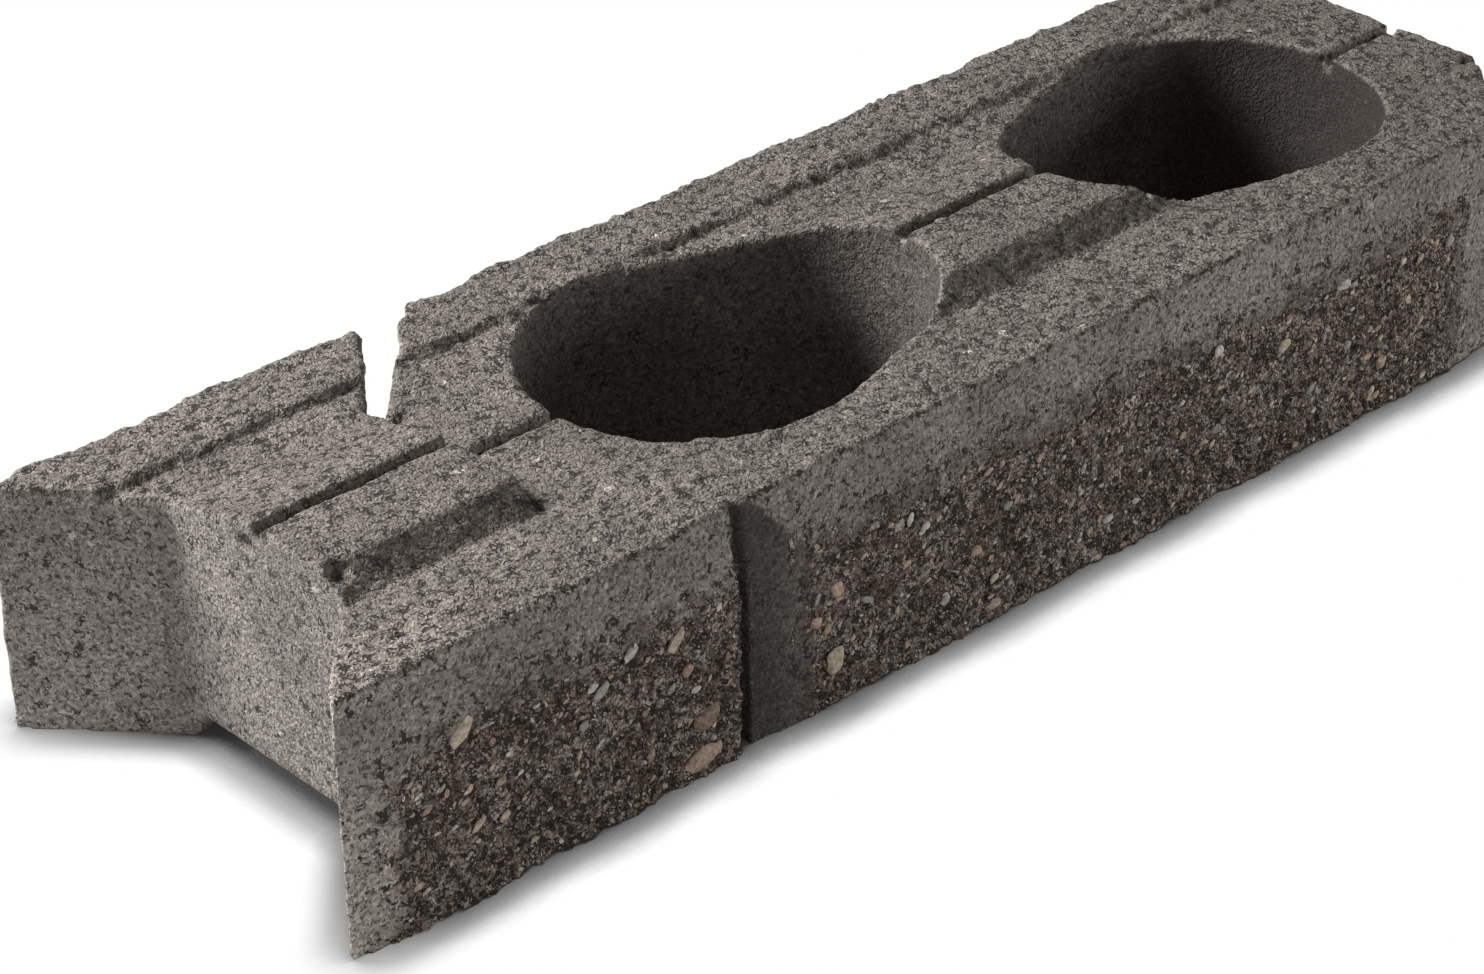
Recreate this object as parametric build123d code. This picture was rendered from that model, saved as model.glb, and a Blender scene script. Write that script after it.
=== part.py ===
# Interlocking wall block, cast in one piece from dry concrete. Millimetres, +Z up.
#
# Two stones share the casting: a short one with a dovetail recess at each end, and a long one
# with a tapered nose at each end. The long stone's nose fills the short stone's recess, and only
# the web and the front of that joint are cast solid, so the block can be split there on site.
# The next block in the course pushes its own recess over the nose at the far end.
#
# X runs along the wall, the split face looks to -Y, and the block lies on its bed at Z = 0.

from build123d import *
import os

# The whole casting
depth = 195.0            # split face to back face
height = 100.0           # bed to the two bearing strips on top
short_length = 175.0     # short stone, measured along its face
long_length = 408.0      # long stone, measured along its face

# Dovetail recess and nose
recess = 45.0            # how far the recess goes into the short stone
cheek = 50.0             # how far its slanted cheeks run in from the face and from the back
joint_gap = 4.0          # the split line between the web and the nose
face_groove = 9.0        # width and depth of the V groove between the two faces
back_mouth = 21.0        # opening of the slit at the back face
back_relief = 4.0        # how much further in the long stone starts at its back corners

# Split face: a rough field with smooth bevelled margins
top_margin = 29.0        # height of the smooth band under the top edge
top_setback = 3.5        # how far that band leans back at the top edge
side_margin = 23.0       # width of the smooth strip at the end of a face
side_setback = 2.6       # how far that strip leans back at its outer edge
scar_pitch = 37.0        # shallow hollows where flakes came away, spacing along the field
scar_radius = 27.0       # of the largest hollows, as they show in the face
scar_depth = 2.2

# Top surface, front to back
front_strip = 24.0       # bearing strip along the face
back_strip = 30.0        # bearing strip along the back
top_hollow = 2.5         # how far the middle lies below the strips
strip_riser = 2.0        # run of the small step up to the back strip

# Lugs on top, and the channel in the bed that takes the lugs of the course below
lug_rise = 7.0           # above the bearing strips
lug_front_run = 12.0     # slope of the lug's front
lug_crown = 42.0         # flat crown, front to back
lug_back_run = 38.0      # long slope down to the back
lug_end_run = 10.0       # slope at each end of the lug between the cores
channel_depth = 11.0
channel_clearance = 3.0  # channel beyond the lug, at the front and at the back
channel_draft = 6.0      # slope of the channel's walls

# Two cores, egg shaped, narrow ends towards each other
core_big_radius = 66.5
core_small_radius = 50.0
core_big_offset = 143.5    # centre of the big arc, from the middle of the long stone
core_small_offset = 88.0   # centre of the small arc
core_draft = 0.8           # degrees, each core is a little wider at the top

# Marks pressed into the top
bar_width = 4.5          # mark of the bar that holds the cores, on the centre line
bar_depth = 5.0
split_depth = 24.0       # depth of the split line across the web
notch_width = 2.0        # short notch that leads from the split line to the face
notch_depth = 9.0
notch_length = 24.0

# Places that follow from the sizes above
web_right = short_length - recess
long_start = short_length + face_groove
long_end = long_start + long_length
long_middle = long_start + long_length / 2
nose = recess + face_groove - joint_gap
nose_cheek = nose * cheek / recess
nose_tip = long_end + nose
overall = nose_tip
middle = depth / 2
floor_of_top = height - top_hollow
field_height = height - top_margin
lug_front = cheek
lug_back = lug_front + lug_front_run + lug_crown + lug_back_run
lug_top = height + lug_rise
spare = 5.0              # how far cutting tools run past the surface they cut


def prism_along_z(points, bottom, top):
    """Solid with the given XY outline between two levels."""
    outline = make_face(Polyline(*points, close=True))
    return Pos(0, 0, bottom) * extrude(outline, amount=top - bottom, dir=(0, 0, 1))


def prism_along_x(points, start, end):
    """Solid with the given YZ outline between two places along the wall."""
    outline = make_face(Polyline(*[(start, y, z) for y, z in points], close=True))
    return extrude(outline, amount=end - start, dir=(1, 0, 0))


def prism_along_y(points, start, end):
    """Solid with the given XZ outline between two places across the wall."""
    outline = make_face(Polyline(*[(x, start, z) for x, z in points], close=True))
    return extrude(outline, amount=end - start, dir=(0, 1, 0))


def short_stone_plan():
    """Bow-tie outline: a web with a dovetail recess at either end."""
    return [(0, 0), (short_length, 0), (web_right, cheek), (web_right, depth - cheek),
            (long_start + back_relief - back_mouth, depth), (0, depth),
            (recess, depth - cheek), (recess, cheek)]


def long_stone_plan():
    """Outline with a tapered nose at either end."""
    start_tip = long_start - nose
    return [(long_start, 0), (long_end, 0), (nose_tip, nose_cheek), (nose_tip, depth - nose_cheek),
            (long_end - back_relief, depth), (long_start + back_relief, depth),
            (start_tip, depth - nose_cheek), (start_tip, nose_cheek)]


def joint_plan():
    """Concrete left between the stones: behind the V groove and across the web."""
    start_tip = long_start - nose
    return [(short_length, 0), (short_length, face_groove), (long_start, 0),
            (start_tip, nose_cheek), (start_tip, depth - nose_cheek),
            (web_right, depth - cheek), (web_right, cheek)]


def cross_section():
    """Bed with its channel, back face, stepped top and the leaning band of the split face."""
    channel_back = lug_back + channel_clearance
    channel_front = lug_front - channel_clearance
    return [(0, 0), (channel_front, 0), (channel_front + channel_draft, channel_depth),
            (channel_back - channel_draft, channel_depth), (channel_back, 0), (depth, 0),
            (depth, height), (depth - back_strip, height),
            (depth - back_strip - strip_riser, floor_of_top), (cheek, floor_of_top),
            (front_strip, height), (top_setback, height), (0, height - top_margin)]


def lug(start, end, start_run, end_run):
    """Locking lug: steep front, flat crown, long back slope."""
    root = floor_of_top - spare
    crown_front = lug_front + lug_front_run
    profile = [(lug_front, root), (lug_front, floor_of_top), (crown_front, lug_top),
               (crown_front + lug_crown, lug_top), (lug_back, floor_of_top), (lug_back, root)]
    ends = [(start, root), (start, floor_of_top), (start + start_run, lug_top),
            (end - end_run, lug_top), (end, floor_of_top), (end, root)]
    return prism_along_x(profile, start, end) & prism_along_y(ends, 0, depth)


def core(direction):
    """Through core, narrow end towards the middle of the long stone."""
    big = (long_middle + direction * core_big_offset, middle)
    small = (long_middle + direction * core_small_offset, middle)
    arcs = (Pos(*big) * CenterArc((0, 0), core_big_radius, 0, 360)).edges()
    arcs += (Pos(*small) * CenterArc((0, 0), core_small_radius, 0, 360)).edges()
    outline = Pos(0, 0, lug_top + spare) * make_hull(arcs)
    return extrude(outline, amount=lug_top + 2 * spare, dir=(0, 0, -1), taper=core_draft)


def side_bevel(corner, direction):
    """Wedge cut off the outer edge of a face, so that the rough field stands proud."""
    wedge = [(corner - direction * spare, -spare), (corner + direction * side_margin, -spare),
             (corner + direction * side_margin, 0), (corner, side_setback),
             (corner - direction * spare, side_setback)]
    return prism_along_z(wedge, -spare, height + spare)


def bar_mark(start, end, surface):
    """Groove left on the centre line by the bar that holds the cores."""
    low = middle - bar_width / 2
    high = middle + bar_width / 2
    floor = surface - bar_depth
    return prism_along_z([(start, low), (end, low), (end, high), (start, high)],
                         floor, lug_top + spare)


def split_line():
    """V-shaped split line across the web, between the end of the slit and the front notch."""
    left = web_right
    right = web_right + joint_gap
    bottom = height - split_depth
    profile = [(left, lug_top + spare), (left, height), ((left + right) / 2, bottom),
               (right, height), (right, lug_top + spare)]
    return prism_along_y(profile, cheek, depth - cheek + spare)


def front_notch():
    """Short notch along the cheek, from the split line towards the face."""
    run = Vector(recess, -cheek, 0).normalized() * notch_length
    side = Vector(cheek, recess, 0).normalized() * notch_width
    start = Vector(web_right, cheek, 0)
    corners = [start, start + run, start + run + side, start + side]
    return prism_along_z([(c.X, c.Y) for c in corners], height - notch_depth, height + spare)


def flake_scars(start, end):
    """Hollows that alternate high and low along a rough field, each cut by the cap of a big ball."""
    count = int((end - start) / scar_pitch)
    scars = []
    for number in range(count):
        size = (1, 0.8, 0.9)[number % 3]
        radius = size * scar_radius
        depth_in = size * scar_depth
        ball = (radius ** 2 + depth_in ** 2) / (2 * depth_in)
        along = start + (number + 0.5) * (end - start) / count
        up = field_height * (0.2 if number % 2 else 0.64)
        scars.append(Pos(along, depth_in - ball, up) * Sphere(ball))
    return scars


def wall_block():
    """The whole casting, with the near-left corner of the face at the origin."""
    plan = prism_along_z(short_stone_plan(), 0, lug_top)
    plan += prism_along_z(long_stone_plan(), 0, lug_top)
    plan += prism_along_z(joint_plan(), 0, lug_top)
    block = plan & prism_along_x(cross_section(), 0, overall)
    block += lug(recess, web_right, 0, 0)
    block += lug(long_middle - core_small_offset, long_middle + core_small_offset,
                 lug_end_run, lug_end_run)
    block -= core(-1)
    block -= core(1)
    block -= side_bevel(0, 1)
    block -= side_bevel(long_start, 1)
    block -= side_bevel(long_end, -1)
    block -= flake_scars(side_margin, short_length)
    block -= flake_scars(long_start + side_margin, long_end - side_margin)
    block -= bar_mark(-spare, web_right, lug_top)
    block -= bar_mark(web_right, long_middle - core_big_offset, floor_of_top)
    block -= bar_mark(long_middle - core_small_offset, long_middle + core_small_offset, lug_top)
    block -= bar_mark(long_middle + core_big_offset, overall + spare, floor_of_top)
    block -= split_line()
    block -= front_notch()
    return block


os.makedirs("parts", exist_ok=True)
block = Pos(-overall / 2, -middle, 0) * wall_block()
export_step(block, "parts/wall_block.step")
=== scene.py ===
# %% [markdown]
# # A split-face wall block
# The object is one casting of dry-mix concrete: grainy on top, closer where the mould touched it,
# and broken open along its face, where the stones in the mix show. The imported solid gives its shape
# and size. This script gives it a worn, porous surface, the broken face and its stones, and then the
# finish, the light and the camera.

# %% Load the solid
import math
import random

import bpy
import numpy as np
from mathutils import Matrix, Vector, kdtree


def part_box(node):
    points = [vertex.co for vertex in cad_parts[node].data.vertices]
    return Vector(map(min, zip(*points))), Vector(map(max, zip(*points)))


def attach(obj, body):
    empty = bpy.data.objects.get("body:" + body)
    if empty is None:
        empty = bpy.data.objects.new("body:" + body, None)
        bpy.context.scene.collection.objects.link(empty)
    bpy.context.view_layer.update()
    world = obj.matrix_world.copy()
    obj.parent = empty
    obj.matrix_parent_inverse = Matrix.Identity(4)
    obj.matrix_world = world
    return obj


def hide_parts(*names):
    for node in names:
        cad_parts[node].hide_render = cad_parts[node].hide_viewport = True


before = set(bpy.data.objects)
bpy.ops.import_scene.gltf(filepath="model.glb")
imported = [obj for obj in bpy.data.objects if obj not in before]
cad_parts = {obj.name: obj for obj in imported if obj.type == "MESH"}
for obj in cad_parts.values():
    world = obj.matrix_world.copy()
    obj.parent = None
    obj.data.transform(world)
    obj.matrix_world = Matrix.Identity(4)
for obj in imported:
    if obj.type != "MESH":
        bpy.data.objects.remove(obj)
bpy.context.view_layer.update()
low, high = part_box("wall_block")
print("solid", [round(v, 4) for v in low], [round(v, 4) for v in high])

# %% [markdown]
# Sizes are in millimetres here and in metres in Blender, so one factor turns the first into the
# second. Places along the wall are counted from the left end of the block, and places across it from
# the split face, as on a drawing.

# %% Sizes on the drawing
MM = 0.001
HEIGHT = 100
SHORT_END = 175          # right end of the short stone's face
LONG_START = 184         # left end of the long stone's face
LONG_END = 592           # right end of the long stone's face
TOP_MARGIN = 29          # smooth band above the broken face
SIDE_MARGIN = 23         # smooth strip beside it
FIELDS = {
    "split_face_short": (SIDE_MARGIN, SHORT_END),
    "split_face_long": (LONG_START + SIDE_MARGIN, LONG_END - SIDE_MARGIN),
}
FIELD_TOP = HEIGHT - TOP_MARGIN
print("fields of broken face", FIELDS, "up to", FIELD_TOP, "mm")


def place(x, y, z):
    """A point of the drawing in Blender's metres."""
    return Vector((low.x + x * MM, low.y + y * MM, z * MM))


# %% [markdown]
# Operators work on what is selected and active, so a few helpers say that plainly. Each one is what
# a click would do: pick one object, apply a modifier, or mark a set of vertices.

# %% Helpers for selection and modifiers
def pick(obj):
    """Makes one object the only selected and the active one."""
    bpy.ops.object.select_all(action="DESELECT")
    obj.select_set(True)
    bpy.context.view_layer.objects.active = obj


def apply_modifier(obj, kind, **settings):
    """Adds a modifier, sets it up and applies it."""
    pick(obj)
    modifier = obj.modifiers.new(kind.lower(), kind)
    for name, value in settings.items():
        setattr(modifier, name, value)
    bpy.ops.object.modifier_apply(modifier=modifier.name)


def join(pieces, name):
    """Joins pieces into one."""
    bpy.ops.object.select_all(action="DESELECT")
    for piece in pieces:
        piece.select_set(True)
    bpy.context.view_layer.objects.active = pieces[0]
    bpy.ops.object.join()
    bpy.context.object.name = name
    return bpy.context.object


def points_of(obj):
    """All vertex places of a mesh, in millimetres on the drawing."""
    flat = np.empty(len(obj.data.vertices) * 3)
    obj.data.vertices.foreach_get("co", flat)
    return (flat.reshape(-1, 3) - [low.x, low.y, 0]) / MM


def normals_of(obj):
    """Which way the mesh faces at each vertex."""
    flat = np.empty(len(obj.data.vertices) * 3)
    obj.data.vertex_normals.foreach_get("vector", flat)
    return flat.reshape(-1, 3)


def move_points(obj, spots):
    """Puts the vertices at the places given, in millimetres on the drawing."""
    obj.data.vertices.foreach_set("co", (spots * MM + [low.x, low.y, 0]).ravel())


WEIGHT_STEPS = 20


def weigh(obj, name, weights):
    """Vertex group from one weight per vertex, in even steps."""
    group = obj.vertex_groups.new(name=name)
    steps = np.round(np.clip(weights, 0, 1) * WEIGHT_STEPS).astype(int)
    for step in range(1, WEIGHT_STEPS + 1):
        chosen = np.nonzero(steps == step)[0].tolist()
        if chosen:
            group.add(chosen, step / WEIGHT_STEPS, "REPLACE")


def report(obj):
    """Prints how many triangles a piece has."""
    obj.data.calc_loop_triangles()
    print(obj.name, len(obj.data.loop_triangles), "triangles")


# %% [markdown]
# The casting starts as a copy of the solid. Its sharp edges are noted first, because the wear
# follows them: on a real block the arrises crumble, while the middle of a face stays true.

# %% Copy the solid and note its sharp edges
SHARP = 55               # degrees between two faces that make an arris
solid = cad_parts["wall_block"]
pick(solid)
bpy.ops.object.duplicate()
casting = bpy.context.object
casting.name = "cast_block"
casting.parent = None
bpy.ops.object.mode_set(mode="EDIT")
bpy.ops.mesh.select_all(action="SELECT")
bpy.ops.mesh.remove_doubles(threshold=0.02 * MM)
bpy.ops.mesh.select_all(action="DESELECT")
bpy.ops.mesh.edges_select_sharp(sharpness=math.radians(SHARP))
bpy.ops.object.mode_set(mode="OBJECT")


def sharp_edge_points(obj, spacing):
    """Points strung along the selected edges."""
    strung = []
    corners = obj.data.vertices
    for edge in obj.data.edges:
        if edge.select:
            a, b = (corners[i].co for i in edge.vertices)
            count = max(1, int((b - a).length / spacing))
            strung += [a.lerp(b, step / count) for step in range(count + 1)]
    return strung


arris_points = sharp_edge_points(casting, 2 * MM)
arrises = kdtree.KDTree(len(arris_points))
for number, point in enumerate(arris_points):
    arrises.insert(point, number)
arrises.balance()
print("points along the arrises", len(arris_points))

# %% [markdown]
# The broken face is a layer of its own, so a bed for it is cut out of the casting with a box. The
# bed is a little smaller than the break, so that the two overlap in a ragged line, and it runs out at
# the bottom, as the break does.

# %% Cut the beds of the two broken faces
BED_DEPTH = 7
OVERLAP = 6


def box_between(name, corner_a, corner_b):
    """A cube primitive stretched between two corners of the drawing."""
    a, b = place(*corner_a), place(*corner_b)
    bpy.ops.object.select_all(action="DESELECT")
    bpy.ops.mesh.primitive_cube_add(size=1, location=(a + b) / 2)
    box = bpy.context.object
    box.name = name
    box.dimensions = b - a
    bpy.ops.object.transform_apply(location=True, rotation=True, scale=True)
    return box


def cut_away(cutter):
    """Takes one object out of the casting."""
    apply_modifier(casting, "BOOLEAN", operation="DIFFERENCE", object=cutter, solver="EXACT")
    bpy.data.objects.remove(cutter)


OUTSIDE = 5              # how far the boxes run past the face and the bed
for name, (start, end) in FIELDS.items():
    right = end + OVERLAP if end == SHORT_END else end - OVERLAP
    near_corner = (start + OVERLAP, -OUTSIDE, -OUTSIDE)
    far_corner = (right, BED_DEPTH, FIELD_TOP - OVERLAP)
    cut_away(box_between(name + "_bed", near_corner, far_corner))
report(casting)

# %% [markdown]
# Blocks lose corners when they are stacked. Each missing bit is a lump with rough sides, cut out
# where the photograph shows one, and smaller ones follow the arrises by chance.

# %% Knock off corners
CHIPS = [                # (along, across, up), radius
    ((345, 65, 98), 6.0), ((350, 49, 107), 8.5), ((363, 46, 108), 5.5), ((412, 48, 106), 3.0),
    ((50, 57, 107), 7.0), ((58, 52, 104), 5.0), ((71, 54, 106), 4.5), ((137, 133, 98), 5.0),
    ((166, 193, 100), 4.5), ((0, 1, 101), 2.4), ((150, 146, 98), 3.5), ((0, 3, 0), 3.0),
    ((592, 2, 98), 4.0), ((635, 55, 99), 4.5), ((46, 104, 98), 4.0), ((124, 70, 98), 4.5),
]
RANDOM_CHIPS = 46
SHAKE = 0.3              # how far corners move, as a share of the radius
dice = random.Random(7)


def rough_lump(centre, radius, seed):
    """An icosphere with its corners shaken."""
    bpy.ops.object.select_all(action="DESELECT")
    bpy.ops.mesh.primitive_ico_sphere_add(subdivisions=2, radius=radius * MM, location=place(*centre))
    lump = bpy.context.object
    bpy.ops.object.mode_set(mode="EDIT")
    bpy.ops.mesh.select_all(action="SELECT")
    bpy.ops.transform.vertex_random(offset=radius * SHAKE * MM, uniform=0.8, normal=0.2, seed=seed)
    bpy.ops.object.mode_set(mode="OBJECT")
    return lump


lumps = [rough_lump(centre, radius, seed) for seed, (centre, radius) in enumerate(CHIPS)]
upper_arrises = [p for p in arris_points if p.z > 90 * MM and abs(p.x) < 318.5 * MM]
for seed in range(RANDOM_CHIPS):
    spot = dice.choice(upper_arrises)
    where = ((spot.x - low.x) / MM, (spot.y - low.y) / MM, spot.z / MM + 0.8)
    lumps.append(rough_lump(where, dice.uniform(1.6, 3.2), seed))
for lump in lumps:
    cut_away(lump)
report(casting)

# %% [markdown]
# A voxel remesh lays an even net of small faces over the whole casting. Displacement then has
# something to push: without those faces only the old corners could move.

# %% Even net of small faces
NET = 1.6                # side of a face in the net
apply_modifier(casting, "REMESH", mode="VOXEL", voxel_size=NET * MM)
report(casting)

# %% [markdown]
# Three masks steer the wear. The first is nearness to an arris, and it is weaker between the bearing
# strips and low on the sides, where the photograph shows cleaner edges. The second marks the struck
# top, which is coarser than the moulded sides, and the third marks those sides.

# %% Masks for the wear
WEAR_WIDTH = 4           # how far from an arris the wear reaches
UPPER = 80               # above this a face that looks up belongs to the struck top
spots = points_of(casting)
x, y, z = spots.T
facing = normals_of(casting)
metres = spots * MM + [low.x, low.y, 0]
edge_distance = np.array([arrises.find(spot)[2] for spot in metres]) / MM
near_edge = np.clip(1 - edge_distance / WEAR_WIDTH, 0, 1)
struck = np.clip(facing[:, 2] * 2 - 0.6, 0, 1) * (z > UPPER)
bed = (facing[:, 2] < -0.5) & (z < 12)
between_strips = (y > 30) & (y < 160) & (z > 95)
wear = np.where(between_strips, 0.35, np.where(z > 85, 1, 0.5))
weigh(casting, "near_edge", near_edge * ~bed * wear)
weigh(casting, "struck", struck)
weigh(casting, "moulded", (1 - struck) * ~bed)
print("vertices", len(spots), "near an arris", int((near_edge > 0).sum()))

# %% [markdown]
# Dry concrete is rammed into a mould and pushed out at once, so its arrises crumble and its top
# stays open. Each kind of wear is a displacement with a texture of its own: crumbs and bites along
# the arrises, a slow swell and pebbles on the struck top, and very little on the moulded sides. Wear
# is loss of material, so the arrises are pushed inwards.

# %% Crumbled arrises and a grainy skin
def texture(name, kind, size, **settings):
    """A procedural texture for the Displace modifier."""
    made = bpy.data.textures.new(name, kind)
    made.noise_scale = size * MM
    for key, value in settings.items():
        setattr(made, key, value)
    return made


def displace(obj, made, strength, group="", middle=0.5, direction="NORMAL"):
    """Pushes the vertices of a group by a texture. The strength is in millimetres."""
    apply_modifier(obj, "DISPLACE", texture=made, strength=strength * MM, mid_level=middle,
                   vertex_group=group, texture_coords="LOCAL", direction=direction)


crumbs = texture("crumbs", "CLOUDS", 3.2, noise_depth=2, contrast=1.8)
bites = texture("bites", "CLOUDS", 13, noise_depth=2, contrast=4.0, intensity=0.55)
grains = texture("grains", "VORONOI", 3.2, contrast=1.2)
swell = texture("swell", "CLOUDS", 45, noise_depth=2)
pebbles = texture("pebbles", "CLOUDS", 5, noise_depth=2, contrast=1.3)
displace(casting, crumbs, -1.1, "near_edge", middle=0.2)
displace(casting, bites, -1.5, "near_edge", middle=0.15)
displace(casting, swell, 0.5, "struck")
displace(casting, pebbles, 0.8, "struck")
displace(casting, grains, 0.8, "struck", middle=0.35)
displace(casting, pebbles, 0.25, "moulded")
report(casting)

# %% [markdown]
# The back, the bed and the walls of the cores show little of this relief. A collapse decimation
# there frees faces for the parts that are seen close.

# %% Thin the hidden stretches
def thin_out(obj, name, chosen, kept):
    """Collapses edges among the chosen vertices until only a share of their faces is left."""
    weigh(obj, name, np.where(chosen, 1.0, 0.0))
    share = chosen.sum() / len(chosen)
    apply_modifier(obj, "DECIMATE", ratio=1 - share * (1 - kept), vertex_group=name,
                   vertex_group_factor=1.0)
    print(name, "was", round(share, 2), "of the vertices")
    report(obj)


facing = normals_of(casting)
x, y, z = points_of(casting).T
bed = (facing[:, 2] < -0.5) & (z < 12)
under_break = (y > 4) & (y < 9) & (facing[:, 1] < -0.7)
thin_out(casting, "thin_flat", bed | under_break, 0.05)
facing = normals_of(casting)
x, y, z = points_of(casting).T
upright = np.abs(facing[:, 2]) < 0.5
back_face = (facing[:, 1] > 0.6) & (y > 188)
in_core = upright & (x > 180) & (x < 600) & (y > 26) & (y < 169) & (z < 95)
right_end = upright & (x > 585) & (z < 95)
slit = upright & (x > 120) & (x < 200) & (y > 110) & (z < 92)
thin_out(casting, "thin_gentle", back_face | in_core | right_end | slit, 0.3)

# %% [markdown]
# A block is as big as its mould, so nothing may stand outside the size of the solid. Displacement
# pushes a few points out, and they are pressed back here.

# %% Press back to size
spots = points_of(casting) * MM + [low.x, low.y, 0]
casting.data.vertices.foreach_set("co", np.clip(spots, np.array(low), np.array(high)).ravel())
casting.data.update()
casting.data.shade_smooth()
print("box of the casting", spots.min(axis=0).round(4), spots.max(axis=0).round(4), "before pressing")

# %% [markdown]
# The finish has to know where it is on the block, so marks are stored on the mesh, one number per
# vertex. The struck top is one of them: its grain is coarser. The other three go into the base
# colour. Two of them are painted shade and painted light, copied from the photograph, because the
# forms and the lamps here don't give enough of it: painted shade darkens the cores, the groove, the
# recess, the fronts of the lugs and the foot of the back step, and painted light pales the left end.
# The third darkens a torn band beside the break. Painted shade stays where it is when the light
# moves, so a part that is to be lit from all sides would use less of it.

# %% Places of painted shade and painted light
def painted_shade_places():
    """Painted shade: the V groove, the walls of the cores, the recess, the lugs' fronts and the foot of
    the step.
    """
    front_line, back_line = 27, 162.5        # where the lower top meets the two bearing strips
    upright = np.clip(2 - np.abs(facing[:, 2]) * 3, 0, 1)
    below_mitre = z < HEIGHT - (x - LONG_START) * TOP_MARGIN / SIDE_MARGIN
    in_groove = (x > SHORT_END - 1) * (x < 210) * (y < 14) * below_mitre
    groove = 0.85 * np.clip(1.15 - (x - LONG_START) / 40, 0, 1) * in_groove
    towards_lamp = np.clip(-facing[:, 0] * 1.6, 0, 1)
    in_core = (x > 190) * (x < 600) * (y > 27) * (y < 168)
    # Core walls that face the main lamp get more painted shade.
    core = in_core * (0.6 + towards_lamp * np.where(x > 440, 0.4, 0.15))
    recess = (x < 60) * (y > 40) * np.where(y < 150, 0.3, 0.15)
    lug_front = 0.45 * np.clip(-facing[:, 1] * 2 - 0.5, 0, 1) * (z > 97) * (y > 30)
    to_line = np.minimum(np.abs(y - front_line), np.abs(y - back_line))
    step_foot = 0.7 * np.clip(1 - to_line / 2.5, 0, 1) * (z > 95) * (z < 98.3)
    walls = upright * np.maximum(recess, np.maximum(groove, core))
    return np.maximum(walls, np.maximum(lug_front, step_foot))


def painted_light_strips():
    """Painted light: the strip at the left end of the face, and the left end of the strip on top."""
    end_strip = (x < SIDE_MARGIN + 2) * (y < 7) * (facing[:, 1] < -0.5)
    end_strip = end_strip * np.clip((70 - z) / 30, 0, 1)
    top_strip = np.clip(1.3 - x / 80, 0, 1) * (y < 30) * (z > 95) * 0.8
    return np.maximum(end_strip, top_strip)


def torn_band():
    """How near each point of the face is to a broken field, less sideways than upwards."""
    reach = 16
    distance = np.full(len(x), 100.0)
    for start, end in FIELDS.values():
        aside = 2.2 * np.maximum(0, np.maximum(start - x, x - end))
        distance = np.minimum(distance, np.hypot(aside, np.maximum(0, z - FIELD_TOP)))
    return np.clip(1.1 - distance / reach, 0, 1) * (y < 7) * (facing[:, 1] < -0.3)


def mark(obj, name, values):
    """Stores one number per vertex under a name that a material can read."""
    kept = obj.data.attributes.new(name, "FLOAT", "POINT")
    kept.data.foreach_set("value", np.asarray(values, dtype=np.float32))


facing = normals_of(casting)
x, y, z = points_of(casting).T
# The struck top is a real skin; the next two marks carry painted shade and painted light, and the last
# a torn band.
marks = {
    "struck_skin": np.clip(facing[:, 2] * 3 - 1.4, 0, 1) * (z > UPPER),
    "painted_shade": painted_shade_places(),
    "painted_light": painted_light_strips(),
    "torn": torn_band(),
}
for name, values in marks.items():
    mark(casting, name, values)
    print(name, "on", int((values > 0).sum()), "of", len(values), "vertices")

# %% [markdown]
# The broken face is a net laid over the break. It stands up from the ground and sinks below the smooth
# margin along its top and sides. Behind, it is folded back and closed, so it is a thin solid slab.

# %% A net for a broken face
FACE_STEP = 0.62         # side of a face in the net
RIM = 15                 # width of the ragged border
STAND_OFF = 0.2          # how far in front of the face the net starts
SLAB_DEPTH = 7.5


def upright_net(name, start, end):
    """A fine flat net in front of the face, from the ground to above the field."""
    width, tall = end - start, FIELD_TOP + RIM / 2
    bpy.ops.object.select_all(action="DESELECT")
    bpy.ops.mesh.primitive_grid_add(x_subdivisions=int(width / FACE_STEP), size=1,
                                    y_subdivisions=int(tall / FACE_STEP),
                                    location=place((start + end) / 2, -STAND_OFF, tall / 2),
                                    rotation=(math.radians(90), 0, 0))
    slab = bpy.context.object
    slab.name = name
    slab.scale = (width * MM, tall * MM, 1)
    bpy.ops.object.transform_apply(location=True, rotation=True, scale=True)
    return slab


def close_behind(slab):
    """Folds the border back, flattens it and fills it."""
    pick(slab)
    bpy.ops.object.mode_set(mode="EDIT")
    bpy.ops.mesh.select_all(action="SELECT")
    bpy.ops.mesh.region_to_loop()
    bpy.ops.mesh.extrude_edges_move(TRANSFORM_OT_translate={"value": (0, SLAB_DEPTH * MM, 0)})
    bpy.ops.transform.resize(value=(1, 0, 1), center_override=place(0, SLAB_DEPTH + STAND_OFF, 0))
    bpy.ops.mesh.edge_face_add()
    bpy.ops.mesh.select_all(action="SELECT")
    bpy.ops.mesh.normals_make_consistent(inside=False)
    bpy.ops.object.mode_set(mode="OBJECT")


print("net with faces of", FACE_STEP, "mm, closed", SLAB_DEPTH, "mm behind")

# %% [markdown]
# A break has several sizes of relief at once: a slow roll, wide facets where it ran through stone,
# small ones where the mix crumbled, and grit on all of them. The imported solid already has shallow
# hollows where flakes came away, and the net follows those before it is broken up.

# %% Relief of the break
facets = texture("facets", "VORONOI", 14, contrast=1.3)
shards = texture("shards", "VORONOI", 4.6, contrast=1.3)
grit = texture("grit", "CLOUDS", 1.8, noise_depth=2, contrast=1.6)
rolls = texture("rolls", "CLOUDS", 26, noise_depth=3, contrast=1.5)
ragged = texture("ragged", "CLOUDS", 8, noise_depth=4, contrast=2.2)

SCAR_PITCH = 37          # the solid's shallow hollows, where flakes came away
SCAR_RADIUS = 27
SCAR_DEPTH = 2.2
SCAR_SIZES = (1, 0.8, 0.9)


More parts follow.
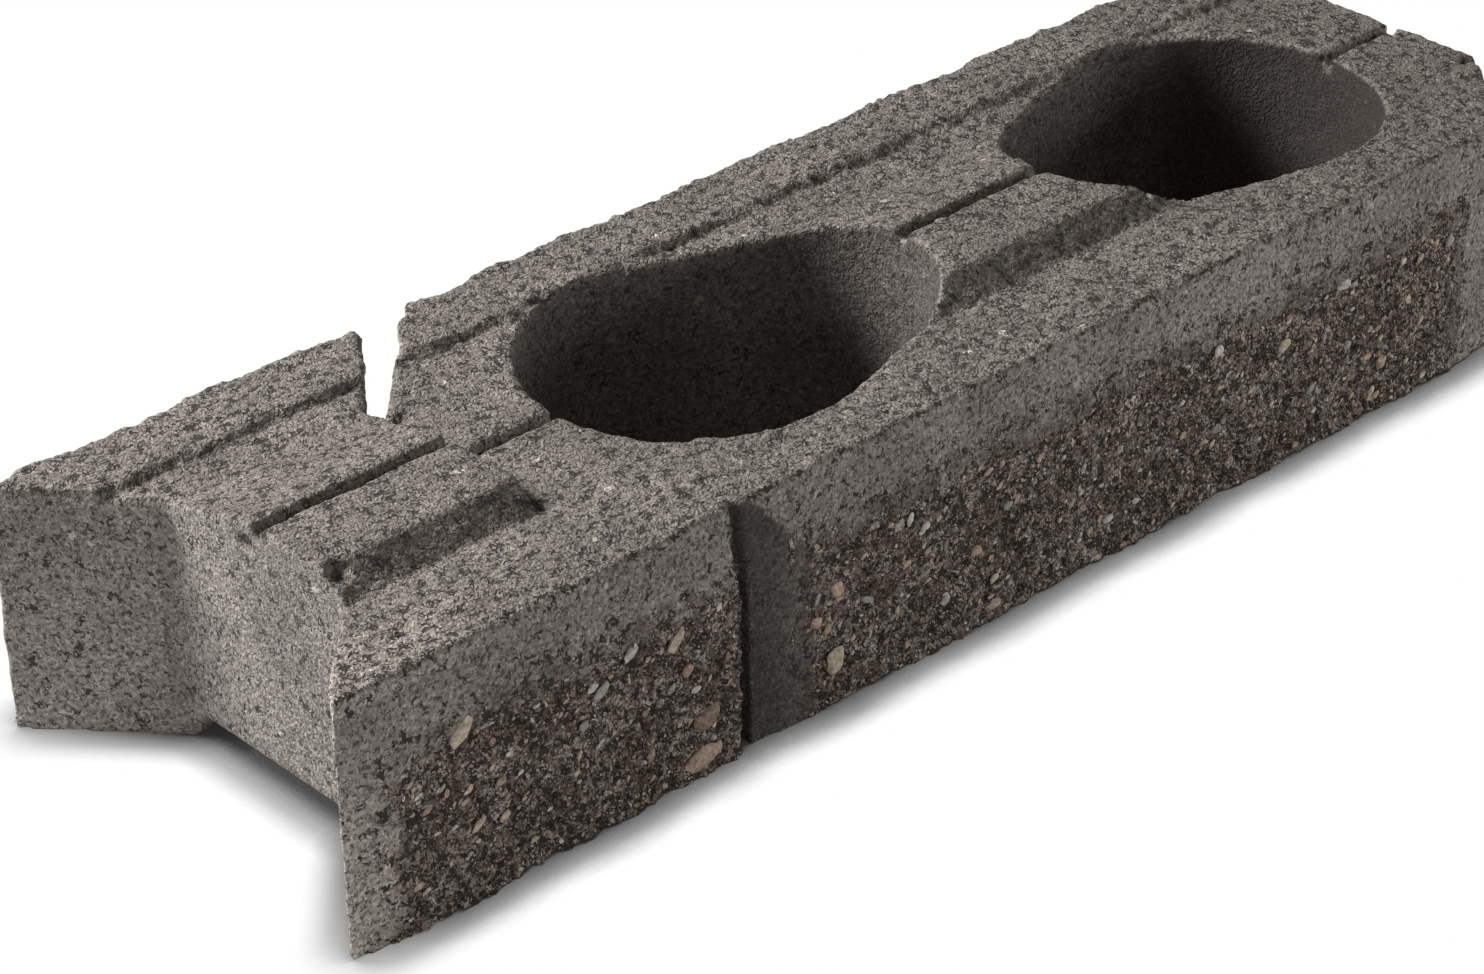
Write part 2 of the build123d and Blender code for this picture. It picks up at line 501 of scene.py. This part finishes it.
def scar_depth_at(x, z, start, end):
    """How deep the solid's hollows are at each point of a field."""
    count = int((end - start) / SCAR_PITCH)
    deepest = np.zeros(len(x))
    for number in range(count):
        size = SCAR_SIZES[number % 3]
        ball = size * (SCAR_RADIUS ** 2 + SCAR_DEPTH ** 2) / (2 * SCAR_DEPTH)
        along = start + (number + 0.5) * (end - start) / count
        up = FIELD_TOP * (0.2 if number % 2 else 0.64)
        reach = np.maximum(ball ** 2 - (x - along) ** 2 - (z - up) ** 2, 0)
        deepest = np.maximum(deepest, SCAR_DEPTH * size - ball + np.sqrt(reach))
    return deepest


print("textures", [made.name for made in (rolls, facets, shards, grit, ragged)])

# %% [markdown]
# Each net is pushed along the depth of the block, least at its border, and the border itself sinks in
# a ragged line. The foot is pushed up and down as well, because the break ends unevenly at the ground.
# Then anything that stands out too far or below the ground is pressed back.

# %% Break up the faces
PROUDEST = 2.6           # how far the break may stand out

slabs = []
for name, (start, end) in FIELDS.items():
    open_right = end == SHORT_END
    left, right = start - RIM / 2, end if open_right else end + RIM / 2
    slab = upright_net(name, left, right)
    spots = points_of(slab)
    x, _, z = spots.T
    to_rim = np.minimum(FIELD_TOP + RIM / 2 - z, x - left)
    if not open_right:
        to_rim = np.minimum(to_rim, right - x)
    inner = np.clip(to_rim / RIM, 0, 1)
    weigh(slab, "inner", 0.35 + 0.65 * inner)
    weigh(slab, "rim", 1 - inner)
    weigh(slab, "foot", np.clip(1 - z / 4, 0, 1))
    spots[:, 1] += scar_depth_at(x, z, start, end)
    move_points(slab, spots)
    for made, strength in ((rolls, 1.8), (facets, -2.4), (shards, -2.0), (grit, 0.9)):
        displace(slab, made, strength, "inner", direction="Y")
    displace(slab, ragged, 3.4, "rim", direction="Y")
    displace(slab, None, 2.0, "rim", direction="Y", middle=0)
    displace(slab, ragged, 1.8, "foot", direction="Z", middle=0.3)
    spots = points_of(slab)
    spots[:, 1] = np.maximum(spots[:, 1], -PROUDEST)
    spots[:, 2] = np.maximum(spots[:, 2], 0)
    move_points(slab, spots)
    close_behind(slab)
    slab.data.shade_smooth()
    report(slab)
    slabs.append(slab)

# %% [markdown]
# Bigger stones stand in the broken face. The large ones are placed where the photograph
# shows them, with their size, how far they lean and which of six colours they have.

# %% Stones that the photograph shows
PALE, CREAM, PINK, BROWN, GREY, OCHRE = 0.05, 0.22, 0.4, 0.58, 0.76, 0.94
PLACED_STONES = [          # along, up, length, width, tilt, colour
    (156.7, 6.6, 20, 10, 14, PINK), (159.8, 23.5, 15, 11, 25, BROWN), (145.5, 61, 14, 6.5, 38, CREAM),
    (150.6, 47, 8, 6, 35, OCHRE), (112.8, 55.4, 9, 4.5, 40, GREY), (52, 69, 13, 7, 45, CREAM),
    (30.7, 18, 6, 5, 20, PINK), (57, 29, 9, 3.5, 48, CREAM), (67, 42, 5, 4, 10, OCHRE),
    (104, 46, 6, 4, 0, GREY), (133, 20, 7, 6, 10, OCHRE), (125, 66, 8, 4, 30, PALE),
    (24.5, 68, 5, 3, 0, PALE), (219, 19.5, 10, 15, 0, CREAM), (222.8, 47, 6, 8, 10, PINK),
    (212, 38, 5, 6, 0, PINK), (251.5, 60.8, 11, 5, 25, GREY), (255, 44, 6, 4, 30, PINK),
    (265, 56, 6, 5, 0, PALE), (299.3, 7.5, 8, 5, 5, PINK), (300.6, 18.2, 6, 4, 30, CREAM),
    (309, 45, 7, 4, 15, GREY), (275.6, 19.4, 6, 4, 40, PALE), (291, 34, 6, 5, 0, OCHRE),
    (363.8, 15.5, 7, 4, 20, PALE), (368, 44, 6, 5, 10, CREAM), (421.6, 66, 8, 6, 0, PALE),
    (423.9, 30, 6, 5, 20, GREY), (461.3, 52.5, 9, 7, 10, CREAM), (495.5, 66, 9, 7, 0, PALE),
    (501.5, 36.8, 7, 5, 20, GREY), (523.2, 20.6, 8, 8, 0, PINK), (537.8, 43, 6, 6, 0, CREAM),
    (560.8, 61.4, 7, 6, 0, GREY),
]
print("stones placed by hand", len(PLACED_STONES))

# %% [markdown]
# A few lumps are shaped once, by shaking the corners of an icosphere and bevelling its edges. Every
# stone is then a copy of one of them, turned and stretched.

# %% Shape a few stones
SHAPES = 6


def stone_shape(number):
    """One broken stone, one unit long; a copy is made thin when it is set."""
    bpy.ops.object.select_all(action="DESELECT")
    bpy.ops.mesh.primitive_ico_sphere_add(subdivisions=1, radius=0.5)
    stone = bpy.context.object
    stone.name = "stone_shape_%d" % number
    bpy.ops.object.mode_set(mode="EDIT")
    bpy.ops.mesh.select_all(action="SELECT")
    bpy.ops.transform.vertex_random(offset=0.12, uniform=0.9, normal=0.3, seed=number)
    bpy.ops.mesh.select_all(action="DESELECT")
    bpy.ops.object.mode_set(mode="OBJECT")
    apply_modifier(stone, "BEVEL", width=0.07, segments=1)
    return stone


shapes = [stone_shape(number) for number in range(SHAPES)]
print("corners of each shape", [len(shape.data.vertices) for shape in shapes])

# %% [markdown]
# A stone has to sit in the break and not in front of it, so the depth of the break is looked up at
# the nearest few points. Small stones are scattered with a fixed seed, so that every run sets the same
# ones. Most of them are near the smallest size.

# %% Bed the stones
SMALL_STONES = 400
FLATNESS = 0.55          # thickness of a stone as a share of its lesser width
PROUDEST_STONE = 3.4     # how far a stone may stand out
slab_points = np.vstack([points_of(slab) for slab in slabs])
slab_tree = kdtree.KDTree(len(slab_points))
for number, (x, y, z) in enumerate(slab_points):
    slab_tree.insert((x, z, 0), number)
slab_tree.balance()


def face_depth(x, z):
    """How far in the broken face lies at a place: the front of the nearest few points."""
    near = slab_tree.find_n((x, z, 0), 6)
    return min(slab_points[number][1] for _, number, _ in near)


def set_stone(shape, x, z, length, width, tilt, tone, dice):
    """A copy of a stone shape, bedded in the broken face."""
    pick(shape)
    bpy.ops.object.duplicate()
    stone = bpy.context.object
    thick = min(length, width) * FLATNESS
    depth = face_depth(x, z) + thick * 0.08
    stone.location = place(x, max(depth, -1.6 + thick * 0.1), z)
    stone.rotation_euler = (dice.uniform(-0.25, 0.25), -math.radians(tilt), dice.uniform(-0.25, 0.25))
    stone.scale = (length * MM, thick * MM, width * MM)
    mark(stone, "tone", [tone] * len(stone.data.vertices))
    return stone


dice = random.Random(21)
stones = []
for x, z, length, width, tilt, tone in PLACED_STONES:
    stones.append(set_stone(dice.choice(shapes), x, z, length, width, tilt, tone, dice))
spans = list(FIELDS.values())
for _ in range(SMALL_STONES):
    start, end = dice.choices(spans, weights=[b - a for a, b in spans])[0]
    size = 1.6 + 2.2 * dice.random() ** 3
    stones.append(set_stone(dice.choice(shapes), dice.uniform(start + 2, end - 2),
                            dice.uniform(1.5, FIELD_TOP - 1), size * dice.uniform(1, 1.8), size,
                            dice.uniform(-20, 70), dice.random(), dice))
for shape in shapes:
    bpy.data.objects.remove(shape)
face_stones = join(stones, "face_stones")
bpy.ops.object.transform_apply(location=True, rotation=True, scale=True)
spots = points_of(face_stones)
spots[:, 2] = np.maximum(spots[:, 2], 0)
spots[:, 1] = np.maximum(spots[:, 1], -PROUDEST_STONE)
move_points(face_stones, spots)
report(face_stones)

# %% [markdown]
# Both concrete finishes are made of the same few effects, so each effect is a node group that both
# can use. Building nodes takes many lines, so short helpers come first. The first one adds a node and
# links its inputs, and the others use it for what comes up again and again.

# %% Node helpers
def add_node(tree, kind, inputs=None, **settings):
    """A shader node with its settings and its inputs, which are numbers or other nodes' outputs."""
    made = tree.nodes.new("ShaderNode" + kind)
    for name, value in settings.items():
        setattr(made, name, value)
    for name, value in (inputs or {}).items():
        if isinstance(value, bpy.types.NodeSocket):
            tree.links.new(value, made.inputs[name])
        else:
            made.inputs[name].default_value = value
    return made


def object_place(tree):
    """Coordinates that stay with the object."""
    return add_node(tree, "TexCoord").outputs["Object"]


def stored(tree, name):
    """A number that is stored on the mesh."""
    return add_node(tree, "Attribute", attribute_name=name).outputs["Fac"]


def arithmetic(tree, operation, a, b):
    """One sum of two numbers or sockets."""
    return add_node(tree, "Math", {0: a, 1: b}, operation=operation).outputs[0]


print("first helpers:", [helper.__name__ for helper in (add_node, object_place, stored, arithmetic)])

# %% [markdown]
# Colours are mixed, tinted and picked from ramps, and soft steps turn one range of numbers into
# another. A node group gets named sockets, so that a material can give it its own values.

# %% Helpers for colours and groups
def blend(tree, factor, a, b, mode="MIX"):
    """Mixes two colours."""
    made = add_node(tree, "Mix", {0: factor, 6: a, 7: b}, data_type="RGBA", blend_type=mode)
    return made.outputs[2]


def tinted(tree, colour, tint):
    """A colour multiplied by a tint, which darkens below one and brightens above it."""
    return blend(tree, 1.0, colour, (*tint, 1), "MULTIPLY")


def ease(tree, value, start, end, low_value=0.0, high_value=1.0):
    """A soft step from one level to another."""
    made = add_node(tree, "MapRange", {"Value": value, "From Min": start, "From Max": end,
                                       "To Min": low_value, "To Max": high_value},
                    interpolation_type="SMOOTHSTEP")
    return made.outputs[0]


def ramp(tree, value, stops, interpolation="LINEAR"):
    """A colour ramp from (place, colour) stops."""
    made = add_node(tree, "ValToRGB", {0: value})
    made.color_ramp.interpolation = interpolation
    while len(made.color_ramp.elements) < len(stops):
        made.color_ramp.elements.new(1.0)
    for element, (where, colour) in zip(made.color_ramp.elements, stops):
        element.position = where
        element.color = (*colour, 1)
    return made.outputs[0]


def new_group(name, inputs, outputs):
    """An empty node group with named sockets."""
    tree = bpy.data.node_groups.new(name, "ShaderNodeTree")
    for socket_name, default in inputs.items():
        socket = tree.interface.new_socket(socket_name, in_out="INPUT", socket_type="NodeSocketFloat")
        socket.default_value = default
    for socket_name in outputs:
        tree.interface.new_socket(socket_name, in_out="OUTPUT", socket_type="NodeSocketFloat")
    return tree, tree.nodes.new("NodeGroupInput"), tree.nodes.new("NodeGroupOutput")


print("more helpers:", [helper.__name__ for helper in (blend, tinted, ease, ramp, new_group)])

# %% [markdown]
# The grain of dry-mix concrete is crumbs of sand stuck together, with open joints where the mix was
# loose. A Voronoi pattern on bent coordinates gives crumbs of uneven outline. A slower noise says
# where the mix is loose, and there the joints between the crumbs gape.

# %% Node group: grain of dry-mix concrete
def wobble(tree, where, per_metre, amount):
    """Coordinates bent by a noise, so that a pattern on them loses its regular outlines."""
    noise = add_node(tree, "TexNoise", {"Vector": where, "Scale": per_metre, "Detail": 0.0})
    centred = add_node(tree, "VectorMath", {0: noise.outputs["Color"], 1: (0.5, 0.5, 0.5)},
                       operation="SUBTRACT").outputs[0]
    reach = arithmetic(tree, "DIVIDE", amount, per_metre)
    shift = add_node(tree, "VectorMath", {0: centred, "Scale": reach}, operation="SCALE").outputs[0]
    return add_node(tree, "VectorMath", {0: where, 1: shift}, operation="ADD").outputs[0]


def build_grain_group():
    """Crumbs with open joints."""
    tree, given, result = new_group("concrete_grain", {"Grains Per Metre": 700, "Pore Level": 0.5},
                                    ["Height", "Solid", "Grain Tone"])
    where = object_place(tree)
    per_metre = given.outputs["Grains Per Metre"]
    bent = wobble(tree, where, per_metre, 1.3)
    crumb = add_node(tree, "TexVoronoi", {"Vector": bent, "Scale": per_metre})
    joint = add_node(tree, "TexVoronoi", {"Vector": bent, "Scale": per_metre},
                     feature="DISTANCE_TO_EDGE")
    pile = add_node(tree, "TexNoise", {"Vector": where, "Detail": 2.0, "Roughness": 0.7,
                                       "Scale": arithmetic(tree, "MULTIPLY", per_metre, 0.55)})
    excess = arithmetic(tree, "SUBTRACT", arithmetic(tree, "SUBTRACT", 1.0, pile.outputs[0]),
                        given.outputs["Pore Level"])
    gap = arithmetic(tree, "MULTIPLY", excess, 1.7)
    solid_part = ease(tree, joint.outputs["Distance"], gap, arithmetic(tree, "ADD", gap, 0.08))
    rounded = ease(tree, joint.outputs["Distance"], 0.0, 0.25, 0.0, 0.16)
    height = arithmetic(tree, "ADD", arithmetic(tree, "MULTIPLY", solid_part, 0.22), rounded)
    height = arithmetic(tree, "ADD", height, arithmetic(tree, "MULTIPLY", pile.outputs[0], 0.7))
    tree.links.new(height, result.inputs["Height"])
    tree.links.new(solid_part, result.inputs["Solid"])
    split = add_node(tree, "SeparateColor", {0: crumb.outputs["Color"]})
    tree.links.new(split.outputs[0], result.inputs["Grain Tone"])
    return tree


grain_group = build_grain_group()
print("node group", grain_group.name)

# %% [markdown]
# Bits of stone show wherever the concrete is cut or worn. Each cell of another Voronoi pattern may
# hold one, and a random number per cell decides whether it does, how big it is and its tone.

# %% Node group: specks of stone
def build_speck_group():
    """Cells, of which a share holds a bit of stone."""
    tree, given, result = new_group("stone_specks", {"Specks Per Metre": 300, "Share": 0.1},
                                    ["Mask", "Speck Tone"])
    where = object_place(tree)
    per_metre = given.outputs["Specks Per Metre"]
    bent = wobble(tree, where, per_metre, 1.1)
    cell = add_node(tree, "TexVoronoi", {"Vector": bent, "Scale": per_metre})
    parts = add_node(tree, "SeparateColor", {0: cell.outputs["Color"]})
    chosen = arithmetic(tree, "LESS_THAN", parts.outputs[0], given.outputs["Share"])
    size = arithmetic(tree, "ADD", arithmetic(tree, "MULTIPLY", parts.outputs[1], 0.25), 0.28)
    rounded = ease(tree, cell.outputs["Distance"], size, arithmetic(tree, "SUBTRACT", size, 0.08))
    mask = arithmetic(tree, "MULTIPLY", chosen, rounded)
    tree.links.new(mask, result.inputs["Mask"])
    tree.links.new(parts.outputs[2], result.inputs["Speck Tone"])
    return tree


speck_group = build_speck_group()
print("node group", speck_group.name)

# %% [markdown]
# No casting is one even grey, because damp and cement are never spread evenly. A soft noise gives
# these slow changes, and both finishes use it at more than one size.

# %% Node group: slow changes of tone
def build_blotch_group():
    """One soft noise."""
    tree, given, result = new_group("tone_blotches", {"Blotches Per Metre": 30}, ["Tone"])
    where = object_place(tree)
    per_metre = given.outputs["Blotches Per Metre"]
    wide = add_node(tree, "TexNoise", {"Vector": where, "Scale": per_metre, "Detail": 1.0})
    tree.links.new(ease(tree, wide.outputs[0], 0.3, 0.7), result.inputs["Tone"])
    return tree


blotch_group = build_blotch_group()
print("node group", blotch_group.name)


def use_group(tree, group, **values):
    """Places a node group in a material with its own values."""
    made = tree.nodes.new("ShaderNodeGroup")
    made.node_tree = group
    for name, value in values.items():
        socket = made.inputs[name.replace("_", " ")]
        if isinstance(value, bpy.types.NodeSocket):
            tree.links.new(value, socket)
        else:
            socket.default_value = value
    return made.outputs


# %% [markdown]
# The skin of the casting is warm grey. Pores are darker than the sand around them, grains differ a
# little from each other, and a few pale stones show. The struck top has coarser grains than the sides
# that slid past the mould, which are closer, with separate pits.

# %% Finish of the casting
def empty_material(name, roughness):
    """A material with a dull shader and nothing linked to it."""
    made = bpy.data.materials.new(name)
    made.use_nodes = True
    shader = made.node_tree.nodes["Principled BSDF"]
    shader.inputs["Roughness"].default_value = roughness
    shader.inputs["Specular IOR Level"].default_value = 0.25
    return made, made.node_tree, shader


def fine_grit(tree, per_metre, strength):
    """Relief of single sand grains."""
    where = object_place(tree)
    noise = add_node(tree, "TexNoise", {"Vector": where, "Scale": per_metre, "Detail": 1.0})
    return arithmetic(tree, "MULTIPLY", noise.outputs[0], strength)


def connect(tree, shader, colour, height, depth):
    """Links a colour and a relief, whose depth is in millimetres, to the shader."""
    tree.links.new(colour, shader.inputs["Base Color"])
    bump = add_node(tree, "Bump", {"Height": height, "Distance": depth * MM, "Strength": 1.0})
    tree.links.new(bump.outputs[0], shader.inputs["Normal"])


def cast_finish():
    """Sand of many tones, with painted shade, painted light and a torn band from the marks, and pores
    on top of that.
    """
    made, tree, shader = empty_material("dry_cast_concrete", 0.95)
    struck, torn = stored(tree, "struck_skin"), stored(tree, "torn")
    open_skin = arithmetic(tree, "MAXIMUM", struck, torn)
    level = ease(tree, open_skin, 0.0, 1.0, 0.6, 0.545)
    coarse = use_group(tree, grain_group, Grains_Per_Metre=400, Pore_Level=level)
    fine = use_group(tree, grain_group, Grains_Per_Metre=950, Pore_Level=0.53)
    blotches = use_group(tree, blotch_group, Blotches_Per_Metre=28)
    lumps = use_group(tree, blotch_group, Blotches_Per_Metre=150)
    pale = use_group(tree, speck_group, Specks_Per_Metre=260, Share=0.012)

    sand = ramp(tree, fine["Grain Tone"], [(0.0, (0.215, 0.19, 0.17)), (0.7, (0.34, 0.306, 0.277)),
                                           (1.0, (0.46, 0.425, 0.39))])
    sand = blend(tree, struck, sand, tinted(tree, sand, (0.67, 0.655, 0.64)))
    sand = blend(tree, blotches["Tone"], tinted(tree, sand, (0.8, 0.8, 0.8)), sand)
    # Painted light: the strip at the left end and the left of the top strip are paled.
    sand = blend(tree, stored(tree, "painted_light"), sand, tinted(tree, sand, (1.5, 1.48, 1.46)))
    sand = blend(tree, pale["Mask"], sand, (0.5, 0.46, 0.4, 1))
    patch = arithmetic(tree, "ADD", torn, arithmetic(tree, "MULTIPLY", lumps["Tone"], 0.5))
    bare = ease(tree, patch, 0.95, 1.35)
    sand = blend(tree, bare, sand, tinted(tree, sand, (0.68, 0.62, 0.6)))
    # Painted shade: the cores, the groove, the recess, the lugs' fronts and the foot of the step are
    # darkened.
    sand = blend(tree, stored(tree, "painted_shade"), sand, tinted(tree, sand, (0.17, 0.16, 0.155)))

    open_coarse = arithmetic(tree, "SUBTRACT", 1.0, coarse["Solid"])
    open_fine = arithmetic(tree, "SUBTRACT", 1.0, fine["Solid"])
    pore = arithmetic(tree, "MAXIMUM", open_coarse, arithmetic(tree, "MULTIPLY", open_fine, 0.8))
    colour = blend(tree, pore, sand, (0.045, 0.039, 0.035, 1))
    relief = ease(tree, open_skin, 0.0, 1.0, 0.9, 1.7)
    height = arithmetic(tree, "MULTIPLY", coarse["Height"], relief)
    height = arithmetic(tree, "ADD", height, fine_grit(tree, 1000.0, 0.8))
    connect(tree, shader, colour, height, 1.0)
    return made


casting.data.materials.clear()
casting.data.materials.append(cast_finish())
print("finish", casting.data.materials[0].name)

# %% [markdown]
# Where the block was split, fresh cement and cut sand show: darker and browner than the skin, with
# pale bits of stone from a millimetre up. The bits are cells of a Voronoi pattern, some of them
# chosen by chance, in two sizes.

# %% Finish of the broken face
STONE_STOPS = [(0.0, (0.62, 0.58, 0.53)), (0.2, (0.58, 0.49, 0.38)), (0.38, (0.56, 0.41, 0.32)),
               (0.54, (0.33, 0.235, 0.19)), (0.7, (0.4, 0.38, 0.355)), (0.88, (0.42, 0.33, 0.24))]


def broken_finish():
    """Dark cement in clumps, pores, and bits of stone in two sizes over them."""
    made, tree, shader = empty_material("broken_concrete", 0.9)
    grain = use_group(tree, grain_group, Grains_Per_Metre=430, Pore_Level=0.5)
    fine = use_group(tree, grain_group, Grains_Per_Metre=1100, Pore_Level=0.52)
    blotches = use_group(tree, blotch_group, Blotches_Per_Metre=60)
    clumps = use_group(tree, blotch_group, Blotches_Per_Metre=230)

    matrix = ramp(tree, fine["Grain Tone"], [(0.0, (0.2, 0.158, 0.136)), (0.6, (0.42, 0.35, 0.305)),
                                             (1.0, (0.74, 0.65, 0.57))])
    matrix = blend(tree, blotches["Tone"], tinted(tree, matrix, (0.55, 0.5, 0.47)), matrix)
    matrix = blend(tree, clumps["Tone"], tinted(tree, matrix, (0.6, 0.57, 0.55)), matrix)
    closed = arithmetic(tree, "MULTIPLY", grain["Solid"], fine["Solid"])
    pore = arithmetic(tree, "MULTIPLY", arithmetic(tree, "SUBTRACT", 1.0, closed), 0.9)
    colour = blend(tree, pore, matrix, (0.03, 0.025, 0.022, 1))
    for per_metre, share in ((850, 0.17), (420, 0.09)):
        specks = use_group(tree, speck_group, Specks_Per_Metre=per_metre, Share=share)
        stone = ramp(tree, specks["Speck Tone"], STONE_STOPS, "CONSTANT")
        colour = blend(tree, specks["Mask"], colour, stone)
    height = arithmetic(tree, "ADD", arithmetic(tree, "MULTIPLY", grain["Height"], 2.6),
                        fine_grit(tree, 1100.0, 1.0))
    connect(tree, shader, colour, height, 1.0)
    return made


broken = broken_finish()
for slab in slabs:
    slab.data.materials.append(broken)
print("finish", broken.name)

# %% [markdown]
# The stones come from several kinds of rock, so each has a colour of its own, stored on the mesh as a
# number from nought to one. A ramp with hard steps turns the number into one of six colours, and a
# fine noise clouds each stone a little.

# %% Finish of the stones
def stone_finish():
    """One of six colours for each stone, clouded a little."""
    made, tree, shader = empty_material("mixed_stone", 0.75)
    cloud = add_node(tree, "TexNoise", {"Vector": object_place(tree), "Scale": 500.0, "Detail": 4.0,
                                        "Roughness": 0.7}).outputs[0]
    colour = ramp(tree, stored(tree, "tone"), STONE_STOPS, "CONSTANT")
    shade = ramp(tree, cloud, [(0.3, (0.45, 0.43, 0.41)), (0.6, (1.15, 1.15, 1.15))])
    connect(tree, shader, blend(tree, 1.0, colour, shade, "MULTIPLY"), cloud, 0.8)
    return made


face_stones.data.materials.clear()
face_stones.data.materials.append(stone_finish())
print("finish", face_stones.data.materials[0].name)

# %% [markdown]
# Everything rides on the one body of the block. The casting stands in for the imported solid, and the
# broken faces and the stones are bedded in it. All of it is the same material, concrete.

# %% Ride on the block
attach(casting, "root")
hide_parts("wall_block")
for piece in (*slabs, face_stones):
    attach(piece, "root")
print("on the one body", [piece.name for piece in (casting, *slabs, face_stones)])

# %% [markdown]
# The photograph has a white ground with only a soft shadow close to the block. The floor here is
# white to the camera and darkens where the block covers it, which a measure of ambient occlusion gives
# without any picture. So this shadow isn't cast by the lamps. It is also weakened left of the
# block, where the photograph has less of it. To other rays than the camera's the floor is a mid grey,
# so it throws a little light back under the block.

# %% Floor
SHADOW_REACH = 0.0195    # metres from the block
FADE = (-0.36, -0.27)    # metres left of the middle, where the shadow comes to full strength
bpy.ops.object.select_all(action="DESELECT")
bpy.ops.mesh.primitive_plane_add(size=8, location=(0, 0, -0.0002))
floor = bpy.context.object
floor.name = "studio_floor"


def paper_finish():
    """White with the shadow to the camera, and mid grey to every other ray."""
    made, tree, shader = empty_material("studio_paper", 1.0)
    shader.inputs["Specular IOR Level"].default_value = 0.0
    seen = add_node(tree, "LightPath").outputs["Is Camera Ray"]
    cover = add_node(tree, "AmbientOcclusion", {"Distance": SHADOW_REACH}, samples=4)
    white = ramp(tree, cover.outputs["AO"], [(0.45, (0.02, 0.02, 0.02)), (0.55, (0.06, 0.06, 0.06)),
                                             (0.75, (0.32, 0.32, 0.32)), (1.0, (1, 1, 1))])
    along = add_node(tree, "SeparateXYZ", {0: object_place(tree)}).outputs["X"]
    white = blend(tree, ease(tree, along, *FADE, 0.35, 1.0), (1, 1, 1, 1), white)
    tree.links.new(blend(tree, seen, (0.5, 0.5, 0.5, 1), (0, 0, 0, 1)), shader.inputs["Base Color"])
    tree.links.new(white, shader.inputs["Emission Color"])
    tree.links.new(seen, shader.inputs["Emission Strength"])
    return made


floor.data.materials.append(paper_finish())
print("floor", [round(side, 2) for side in floor.dimensions], "m")

# %% [markdown]
# The camera sees white behind the block, while the block itself is lit by a much dimmer sky. The
# main lamp stands behind the block and to the left, so the top is bright, the split face is in
# shade and the cores are dark, darker still with the painted shade in them. Two weak lamps open up
# the shaded sides.

# %% The air of the studio
world = bpy.data.worlds.new("studio_air")
bpy.context.scene.world = world
world.use_nodes = True
air = world.node_tree
seen = add_node(air, "LightPath").outputs["Is Camera Ray"]
SKY, SKY_SEEN = 0.17, 1.0                # on the block, and as the camera sees it
strength = add_node(air, "Mix", {0: seen, 2: SKY, 3: SKY_SEEN}, data_type="FLOAT").outputs[0]
air.links.new(strength, air.nodes["Background"].inputs["Strength"])
air.nodes["Background"].inputs["Color"].default_value = (1, 1, 1, 1)


MIDDLE = Vector((-0.1, 0, 0.05))         # what the lamps point at


def softbox(name, turn, rise, distance, size, watts):
    """A square lamp that shines at the block, placed by its bearing and its height in degrees."""
    lamp = bpy.data.lights.new(name, "AREA")
    lamp.shape = "SQUARE"
    lamp.size = size
    lamp.energy = watts
    holder = bpy.data.objects.new(name, lamp)
    bpy.context.collection.objects.link(holder)
    bearing, height = math.radians(turn), math.radians(rise)
    direction = Vector((math.cos(bearing) * math.cos(height), math.sin(bearing) * math.cos(height),
                        math.sin(height)))
    holder.location = MIDDLE + direction * distance
    holder.rotation_euler = (-direction).to_track_quat("-Z", "Y").to_euler()
    return holder


lamps = [softbox("key_softbox", 130, 40, 1.7, 0.5, 58),
         softbox("left_fill", 196, 10, 1.7, 0.55, 5.5),
         softbox("front_fill", 318, 8, 1.7, 0.55, 10)]
print("lamps", [(lamp.name, lamp.data.energy) for lamp in lamps])

# %% [markdown]
# The camera stands where straight edges of the block run as they do in the photograph. Three angles,
# the distance and the length of the lens were found by fitting those edges.

# %% Camera
AZIMUTH, ELEVATION, ROLL = math.radians(-42.333), math.radians(30.910), math.radians(-1.228)
DISTANCE = 1490.7
FOCAL_PIXELS = 4080.8    # length of the lens in pixels of the photograph
PHOTO_WIDTH = 1484       # pixels
SENSOR = 36
aim = place(243.2, 72.35, 50)
towards_camera = Vector((math.sin(AZIMUTH) * math.cos(ELEVATION),
                         -math.cos(AZIMUTH) * math.cos(ELEVATION), math.sin(ELEVATION)))
lens = bpy.data.cameras.new("camera")
lens.sensor_width = SENSOR
lens.lens = FOCAL_PIXELS / PHOTO_WIDTH * SENSOR
camera = bpy.data.objects.new("camera", lens)
bpy.context.collection.objects.link(camera)
turn = (-towards_camera).to_track_quat("-Z", "Y").to_matrix().to_4x4()
camera.matrix_world = (Matrix.Translation(aim + towards_camera * DISTANCE * MM) @ turn
                       @ Matrix.Rotation(ROLL, 4, "Z"))
bpy.context.scene.camera = camera
bpy.context.scene.view_settings.view_transform = "Standard"
print("camera at", [round(v, 3) for v in camera.matrix_world.translation])
print("lens", round(lens.lens, 2), "mm")
